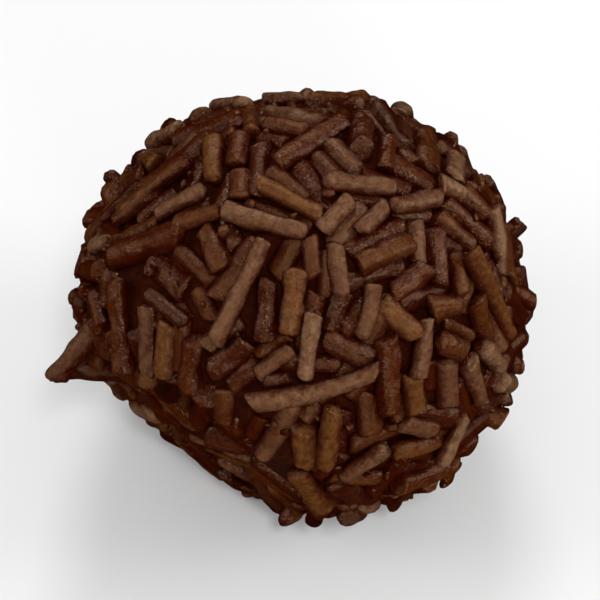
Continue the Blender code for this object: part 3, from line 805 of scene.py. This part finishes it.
def rod_points(centres, halves, radii, own, sides, rings):
    """Points of every rod, ring by ring with the middles of both ends last, grain and crest.

    The crest is 1 on the line along a rod that faces away from the ball and 0 on the one under it.
    The colour paints light on the crest and shade under it.
    """
    axes = unit(halves)
    half_lengths = np.sqrt(dots(halves, halves)) + radii
    outward = unit(centres)
    rise = unit(outward - axes * dots(outward, axes)[:, None])
    side = np.cross(axes, rise)
    places, shares, face = rod_profile(half_lengths, radii, own, rings)
    along = places / half_lengths[:, None]
    angles = np.linspace(0, 2 * math.pi, sides, endpoint=False)
    across, high = rod_section(along, places, shares, radii, own, angles)
    length = rod_length(places, half_lengths, radii, own, face, across, high)
    bow_across, bow_high = rod_bow(along, own)
    local = np.stack([length, across + bow_across, high + bow_high], axis=-1)
    first = local[:, :1].mean(axis=2)
    last = local[:, -1:].mean(axis=2)
    local = np.concatenate([local.reshape(len(radii), -1, 3), first, last], axis=1)
    frames = np.stack([axes, side, rise], axis=1)
    points = centres[:, None] + np.einsum("npi,nij->npj", local, frames)
    grain = local + own["offset"][:, None]
    crest = np.concatenate([np.tile(0.5 + 0.5 * np.sin(angles), places.shape[1]), [0.5, 0.5]])
    return points, grain, crest


def rod_faces(count, sides, rings):
    """Faces of that many rods, as lists of point numbers."""
    ring = np.arange(sides)
    after = (ring + 1) % sides
    quads = []
    for level in range(rings - 1):
        low, high = level * sides, (level + 1) * sides
        quads.append(np.stack([low + ring, low + after, high + after, high + ring], axis=1))
    quads = np.concatenate(quads)
    first, last = rings * sides, rings * sides + 1
    top = (rings - 1) * sides
    fans = [np.stack([after, ring, np.full(sides, first)], axis=1)]
    fans.append(np.stack([top + ring, top + after, np.full(sides, last)], axis=1))
    fans = np.concatenate(fans)
    steps = np.arange(count)[:, None, None] * (rings * sides + 2)
    return (quads + steps).reshape(-1, 4).tolist() + (fans + steps).reshape(-1, 3).tolist()


def set_attribute(mesh, name, kind, values):
    """Stores one value for each point of the mesh."""
    attribute = mesh.attributes.new(name, kind, "POINT")
    field = {"FLOAT": "value", "FLOAT_VECTOR": "vector", "FLOAT_COLOR": "color"}[kind]
    attribute.data.foreach_set(field, np.ascontiguousarray(values, dtype=np.float32).ravel())


def world_mesh(name, points, faces):
    """A mesh in the frame of points from the ball's centre. None of it goes below the floor."""
    world = (points + BALL_CENTRE) * MM
    world[:, 2] = np.maximum(world[:, 2], 0)
    mesh = bpy.data.meshes.new(name)
    mesh.from_pydata(world.tolist(), [], faces)
    return mesh


def link(name, mesh):
    """A new object for this mesh."""
    thing = bpy.data.objects.new(name, mesh)
    bpy.context.scene.collection.objects.link(thing)
    return thing


def finish_piece(thing, material):
    """Gives a piece its material, smooth shading and its body, and hides the part of the solid that
    it stands for.
    """
    thing.data.materials.append(material)
    thing.data.shade_smooth()
    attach(thing, "root")
    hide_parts(NODE)


def mesh_piece(name, points, faces, grain, look, material):
    """One piece from its points, faces, grain and looks."""
    mesh = world_mesh(name, points, faces)
    set_attribute(mesh, "grain", "FLOAT_VECTOR", grain)
    set_attribute(mesh, "look", "FLOAT_COLOR", look)
    # How high each point stands in the coat: the colour paints shade where it is low.
    reach = np.sqrt(dots(points, points))
    outward = points / reach[:, None]
    depth = (reach - ball_radius(outward)) / coat_depth(outward)
    set_attribute(mesh, "depth", "FLOAT", depth)
    finish_piece(link(name, mesh), material)


def rod_piece(name, rods, own, material):
    """One piece made of these rods."""
    centres, halves, radii = rods
    sides, rings = MESH_SIZES[name]
    points, grain, crest = rod_points(centres, halves, radii, own, sides, rings)
    all_rings = rings + 2 * (len(RIM_ARC) + len(FACE_RINGS))
    look = np.repeat(own["look"][:, None], points.shape[1], axis=1)
    # Each look carries the crest as its alpha, by which light and shade are painted on the colour.
    crest = np.broadcast_to(crest[None, :, None], (len(radii), len(crest), 1))
    look = np.concatenate([look, crest], axis=2).reshape(-1, 4)
    faces = rod_faces(len(radii), sides, all_rings)
    mesh_piece(name, points.reshape(-1, 3), faces, grain.reshape(-1, 3), look, material)


def add_sprinkles(material):
    """Every sprinkle, in one piece for each of three kinds."""
    rods, shown, solid = settled_sprinkles()
    own = characters(len(rods[2]), SEED + 1)
    half_lengths = np.sqrt(dots(rods[1], rods[1])) + rods[2]
    own["bow"] = own["bend"] * half_lengths**2 / 2
    for number, (*_, look) in enumerate(STICKING_OUT):
        own["look"][number] = LOOKS[look]
    for number, (*_, look, bend) in enumerate(STANDING_OUT, start=len(STICKING_OUT)):
        own["look"][number] = LOOKS[look]
        own["bow"][number] = bend
        own["bend_side"][number] = 0
        if look in FLATTENED:
            own["flat"][number] = PRESSED_FLAT
    rows = np.arange(len(rods[2]))
    pressed = pressed_share(unit(rods[0])) > FILLER_MOST_PRESSED
    kinds = {
        "sprinkles_standing_out": rows < shown,
        "sprinkles_large": (rows >= shown) & (rows < solid),
        "sprinkles_small": (rows >= solid) & ~pressed,
    }
    for name, kept in kinds.items():
        rod_piece(name, part_of(rods, kept), part_of(own, kept), material)
    return rods


def coat_height(directions, rods):
    """How far from the ball's centre the coat reaches along each direction."""
    centres, halves, radii = rods
    height = ball_radius(directions)
    for row, direction in enumerate(directions):
        way = np.broadcast_to(direction * OUTER_RADIUS / 2, centres.shape)
        s, t = closest_shares(centres - way, halves, way)
        nearest = centres + s[:, None] * halves
        along = nearest @ direction
        apart2 = dots(nearest, nearest) - along**2
        top = along + np.sqrt(np.maximum(radii**2 - apart2, 0))
        hit = (apart2 < radii**2) & (along > 0)
        height[row] = max(height[row], top[hit].max(initial=0))
    return height


def unit_ball(subdivisions):
    """Points and triangles of a ball of radius one."""
    shape = bmesh.new()
    bmesh.ops.create_icosphere(shape, subdivisions=subdivisions, radius=1)
    points = np.array([vert.co for vert in shape.verts])
    triangles = np.array([[vert.index for vert in face.verts] for face in shape.faces])
    shape.free()
    return points, triangles


def crumb_places(rng, rods):
    """Directions to the dips of the coat that hold a crumb, and how far out the coat is there."""
    directions = unit(rng.normal(size=(CRUMB_TRIALS, 3)))
    height = coat_height(directions, rods)
    depth = height - ball_radius(directions)
    low = np.argsort(depth)[slice(*CRUMB_RANKS)]
    chosen = rng.permutation(low)[:CRUMBS]
    return directions[chosen], height[chosen]


def crumb_shapes(rng, ball):
    """Points of each crumb round its middle, a stretched ball with flat sides, and their sizes."""
    sizes = CRUMB_SMALLEST + (CRUMB_LARGEST - CRUMB_SMALLEST) * rng.beta(*CRUMB_MIX, CRUMBS)
    stretch = rng.uniform(*CRUMB_STRETCH, (CRUMBS, 1, 3))
    cuts = unit(rng.normal(size=(CRUMBS, CRUMB_CUTS, 3)))
    slant = np.maximum(np.einsum("pi,cki->cpk", ball, cuts), LEAST_CUT_SLANT)
    share = np.minimum(1, (CUT_DISTANCE / slant).min(axis=2))
    return ball[None] * share[:, :, None] * stretch * sizes[:, None, None], sizes


def add_crumbs(rods, material):
    """Small broken bits that lie in the dips of the coat."""
    rng = np.random.default_rng(CRUMB_SEED)
    directions, height = crumb_places(rng, rods)
    ball, triangles = unit_ball(CRUMB_SUBDIVISIONS)
    shapes, sizes = crumb_shapes(rng, ball)
    centres = directions * (height + CRUMB_RISE * sizes)[:, None]
    points = (centres[:, None] + shapes).reshape(-1, 3)
    looks = np.array([LOOKS[kind] for kind in rng.choice(CRUMB_LOOKS, CRUMBS)])
    looks = np.clip(looks + rng.normal(scale=CRUMB_LOOK_SCATTER, size=looks.shape), 0, 1)
    # A crumb's crest faces away from the ball, and light and shade are painted by it as on a
    # sprinkle.
    crest = 0.5 + 0.5 * np.einsum("pi,ci->cp", ball, directions)
    look = np.concatenate([np.repeat(looks, len(ball), axis=0), crest.reshape(-1, 1)], axis=1)
    first = np.arange(CRUMBS)[:, None, None] * len(ball)
    faces = (triangles[None] + first).reshape(-1, 3).tolist()
    mesh_piece("crumbs", points, faces, points, look, material)


def add_fudge(material):
    """The ball of fudge under the sprinkles."""
    ball, triangles = unit_ball(FUDGE_SUBDIVISIONS)
    directions = unit(ball)
    reach = ball_radius(directions) + FUDGE_RISE + SMEAR * pressed_share(directions)
    mesh = world_mesh("fudge", directions * reach[:, None], triangles.tolist())
    finish_piece(link("fudge", mesh), material)


def feed(tree, socket, value):
    """Links a socket to another node's output, or gives it a number or a colour."""
    if isinstance(value, bpy.types.NodeSocket):
        tree.links.new(value, socket)
    else:
        socket.default_value = value


def new_material(name):
    """A new material, with its node tree and its shader."""
    material = bpy.data.materials.new(name)
    material.use_nodes = True
    tree = material.node_tree
    return material, tree, tree.nodes["Principled BSDF"]


def attribute(tree, name):
    """The node that reads a mesh attribute."""
    node = tree.nodes.new("ShaderNodeAttribute")
    node.attribute_name = name
    return node


def noise(tree, place, scale, detail, roughness):
    """A noise at a place."""
    node = tree.nodes.new("ShaderNodeTexNoise")
    feed(tree, node.inputs["Vector"], place)
    feed(tree, node.inputs["Scale"], scale)
    feed(tree, node.inputs["Detail"], detail)
    feed(tree, node.inputs["Roughness"], roughness)
    return node.outputs["Fac"]


def ranged(tree, value, lowest, highest, low, high):
    """A value from the first range as one in the second, and held to it."""
    node = tree.nodes.new("ShaderNodeMapRange")
    feed(tree, node.inputs["Value"], value)
    feed(tree, node.inputs["From Min"], lowest)
    feed(tree, node.inputs["From Max"], highest)
    feed(tree, node.inputs["To Min"], low)
    feed(tree, node.inputs["To Max"], high)
    return node.outputs["Result"]


def worked_out(tree, operation, *values):
    """What a Math node makes of these values."""
    node = tree.nodes.new("ShaderNodeMath")
    node.operation = operation
    for socket, value in zip(node.inputs, values):
        feed(tree, socket, value)
    return node.outputs["Value"]


def blended(tree, share, first, second):
    """The first colour where the share is 0, the second where it is 1."""
    node = tree.nodes.new("ShaderNodeMix")
    node.data_type = "RGBA"
    feed(tree, node.inputs["Factor"], share)
    feed(tree, node.inputs[6], first)
    feed(tree, node.inputs[7], second)
    return node.outputs[2]


def toned(tree, value, stops):
    """The colour at a value on a ramp with these stops, as (place, colour)."""
    node = tree.nodes.new("ShaderNodeValToRGB")
    ready = list(node.color_ramp.elements)
    for number, (place, colour) in enumerate(stops):
        stop = ready[number] if number < len(ready) else node.color_ramp.elements.new(place)
        stop.position = place
        stop.color = (*colour, 1)
    feed(tree, node.inputs["Fac"], value)
    return node.outputs["Color"]


def raised(tree, height, relief, normal=None):
    """The normal with this relief on it."""
    strength, distance = relief
    node = tree.nodes.new("ShaderNodeBump")
    feed(tree, node.inputs["Height"], height)
    feed(tree, node.inputs["Strength"], strength)
    feed(tree, node.inputs["Distance"], distance)
    if normal:
        feed(tree, node.inputs["Normal"], normal)
    return node.outputs["Normal"]


def sprinkle_colour(tree, parts, crest, streaks, specks, mottle):
    """Chocolate in its own tone and bloom, with painted light and shade by the crest, and painted
    shade low in the coat.
    """
    tone = worked_out(tree, "ADD", parts["Red"], ranged(tree, streaks, *STREAK_TONE))
    # Painted light and shade: the tone is raised on the crest and lowered on the underside.
    tone = worked_out(tree, "ADD", tone, ranged(tree, crest, *CREST_LIGHT_AND_SHADE))
    chocolate = toned(tree, tone, CHOCOLATE_TONES)

    # Pale bloom in specks, with a painted sheen that is strongest on the crest; bloom below carries
    # both.
    most = worked_out(tree, "ADD", parts["Green"], LEAST_BLOOM_AND_SHEEN)
    crest_bloom_and_sheen = worked_out(tree, "MULTIPLY", most, ranged(tree, crest, *CREST_BLOOM_AND_SHEEN))
    flecks = worked_out(tree, "ADD", specks, mottle)
    bloom = worked_out(tree, "MULTIPLY", crest_bloom_and_sheen, ranged(tree, flecks, *SPECK_BLOOM_AND_SHEEN))
    dusted_and_sheened = blended(tree, bloom, chocolate, BLOOM_AND_SHEEN_COLOUR)

    # Painted shade: low in the coat and on the undersides the colour goes to the dark shade colour.
    unshaded_depth = ranged(tree, attribute(tree, "depth").outputs["Fac"], *DEPTH_UNSHADED)
    unshaded = worked_out(tree, "MULTIPLY", unshaded_depth, ranged(tree, crest, *CREST_UNSHADED))
    return blended(tree, unshaded, DEEP_SHADE_COLOUR, dusted_and_sheened)


def sprinkle_material():
    """Chocolate sprinkles: tone and bloom differ from one to the next, with streaks along them.

    A look is tone, bloom, gloss and, as its alpha, the crest, by which light and shade are painted.
    """
    material, tree, shader = new_material("chocolate_sprinkles")
    look = attribute(tree, "look")
    split = tree.nodes.new("ShaderNodeSeparateColor")
    feed(tree, split.inputs["Color"], look.outputs["Color"])
    parts = split.outputs

    grain = attribute(tree, "grain").outputs["Vector"]
    stretch = tree.nodes.new("ShaderNodeMapping")
    feed(tree, stretch.inputs["Vector"], grain)
    feed(tree, stretch.inputs["Scale"], STREAK_STRETCH)
    streaks = noise(tree, stretch.outputs["Vector"], *STREAKS)
    specks = noise(tree, grain, *SPECKS)
    patches = noise(tree, grain, *PATCHES)
    mottle = noise(tree, grain, *MOTTLE)
    # The crest, broken up by the mottle, by which light is painted on top of each sprinkle and shade
    # at its sides.
    crest = worked_out(tree, "MULTIPLY_ADD", mottle, MOTTLE_SHARE, look.outputs["Alpha"])
    colour = sprinkle_colour(tree, parts, crest, streaks, specks, mottle)
    feed(tree, shader.inputs["Base Color"], colour)

    rough = ranged(tree, patches, *PATCH_ROUGHNESS)
    glossy = worked_out(tree, "MULTIPLY_ADD", parts["Blue"], GLOSS_EFFECT, rough)
    sparkle = worked_out(tree, "MULTIPLY", ranged(tree, specks, *SPARKLES), parts["Blue"])
    feed(tree, shader.inputs["Roughness"], glossy)
    feed(tree, shader.inputs["Coat Weight"], sparkle)
    shader.inputs["Coat Roughness"].default_value = SPARKLE_ROUGHNESS
    shader.inputs["Specular IOR Level"].default_value = SPRINKLE_MIRROR
    shader.inputs["Specular Tint"].default_value = GLOSS_TINT

    normal = raised(tree, mottle, MOTTLE_RELIEF)
    normal = raised(tree, specks, SPECK_RELIEF, normal)
    normal = raised(tree, streaks, STREAK_RELIEF, normal)
    feed(tree, shader.inputs["Normal"], normal)
    feed(tree, shader.inputs["Coat Normal"], normal)
    return material


def fudge_material():
    """Soft dark fudge, rough and dull."""
    material, tree, shader = new_material("dark_fudge")
    place = tree.nodes.new("ShaderNodeTexCoord").outputs["Object"]
    lumps = noise(tree, place, *FUDGE_LUMPS)
    feed(tree, shader.inputs["Base Color"], toned(tree, lumps, FUDGE_TONES))
    feed(tree, shader.inputs["Normal"], raised(tree, lumps, FUDGE_RELIEF))
    shader.inputs["Roughness"].default_value = FUDGE_ROUGHNESS
    shader.inputs["Specular IOR Level"].default_value = FUDGE_MIRROR
    shader.inputs["Specular Tint"].default_value = GLOSS_TINT
    return material


def add_camera():
    """The camera at the viewing angle, looking at the middle of the ball."""
    data = bpy.data.cameras.new("camera")
    data.lens = CAMERA_LENS
    data.sensor_width = CAMERA_SENSOR
    data.clip_start, data.clip_end = CAMERA_RANGE
    camera = bpy.data.objects.new("camera", data)
    bpy.context.scene.collection.objects.link(camera)
    outward = Vector(facing_axes()[2])
    camera.location = (Vector(BALL_CENTRE) + outward * EYE_DISTANCE) * MM
    camera.rotation_euler = outward.to_track_quat("Z", "Y").to_euler()
    bpy.context.scene.camera = camera


def add_light(name, place, size, power):
    """A square soft light, aimed at the truffle."""
    data = bpy.data.lights.new(name, "AREA")
    data.size = size
    data.energy = power
    thing = bpy.data.objects.new(name, data)
    bpy.context.scene.collection.objects.link(thing)
    thing.location = place
    aim = Vector(place) - Vector(BALL_CENTRE) * MM
    thing.rotation_euler = aim.to_track_quat("Z", "Y").to_euler()


def add_stage():
    """A plain pale floor that the sprinkles don't mirror."""
    shape = bmesh.new()
    bmesh.ops.create_grid(shape, x_segments=1, y_segments=1, size=FLOOR_SIZE / 2)
    mesh = bpy.data.meshes.new("floor")
    shape.to_mesh(mesh)
    shape.free()
    floor = link("floor", mesh)
    material, _, shader = new_material("pale_floor")
    shader.inputs["Base Color"].default_value = FLOOR_COLOUR
    shader.inputs["Roughness"].default_value = FLOOR_ROUGHNESS
    shader.inputs["Specular IOR Level"].default_value = FLOOR_MIRROR
    floor.data.materials.append(material)
    floor.visible_glossy = False


def add_world():
    """Soft even light from all round that the sprinkles don't mirror."""
    world = bpy.data.worlds.new("studio")
    bpy.context.scene.world = world
    world.use_nodes = True
    background = world.node_tree.nodes["Background"]
    background.inputs["Color"].default_value = (1, 1, 1, 1)
    background.inputs["Strength"].default_value = EVEN_LIGHT
    world.cycles_visibility.glossy = False


def main():
    """Builds the truffle, its floor, its lights and the camera."""
    add_fudge(fudge_material())
    sprinkles = sprinkle_material()
    add_crumbs(add_sprinkles(sprinkles), sprinkles)
    add_stage()
    add_world()
    for light in LIGHTS:
        add_light(*light)
    add_camera()
    scene = bpy.context.scene
    scene.view_settings.view_transform = "Standard"
    scene.view_settings.look = "None"


main()
